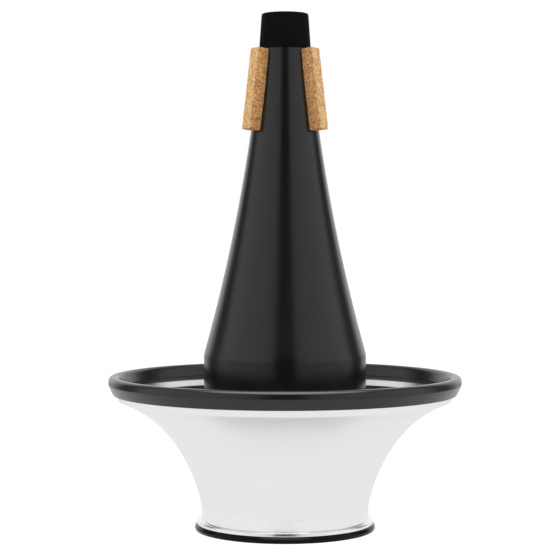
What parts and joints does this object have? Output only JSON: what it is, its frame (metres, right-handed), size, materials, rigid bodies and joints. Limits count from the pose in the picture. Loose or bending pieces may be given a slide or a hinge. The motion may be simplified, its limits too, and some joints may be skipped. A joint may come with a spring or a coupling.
{
  "type": "bass trombone cup mute",
  "caption": "Bass trombone cup mute: black conical body with cork strips on its nose, and a flared metal cup with a rubber trim that slides along the body.",
  "frame": {"origin": "centre of the wide end, on the surface that the mute stands on", "axes": "+Z along the mute's axis from the wide end to the nose, -Y towards the camera, +X to the camera's right"},
  "size_m": [0.2014, 0.2014, 0.2937],
  "materials": {
    "black_lacquer": "smooth gloss black lacquer on spun aluminium",
    "black_rubber": "black rubber, matt on the nose and slightly shiny on the rim",
    "cork": "natural agglomerated cork, sanded",
    "satin_aluminium": "spun aluminium, satin outside and smooth inside"
  },
  "bodies": {
    "straight_mute": {"cone_shell": "black_lacquer", "end_plate": "black_lacquer", "nose_sleeve": "black_rubber", "cork_front_left": "cork", "cork_front_right": "cork", "cork_back": "cork"},
    "grip_ring": {"neck_grip_ring": "black_rubber"},
    "cup": {"cup_shell": "satin_aluminium", "cup_rim_trim": "black_rubber"}
  },
  "joints": [
    {"name": "cup_slide", "type": "slide", "parent": "straight_mute", "child": "grip_ring", "axis": [0, 0, 1], "range_m": [0, 0.3]},
    {"name": "cup_turn", "type": "hinge", "parent": "grip_ring", "child": "cup", "pos_m": [0, 0, 0.004], "axis": [0, 0, 1], "continuous": true}
  ]
}
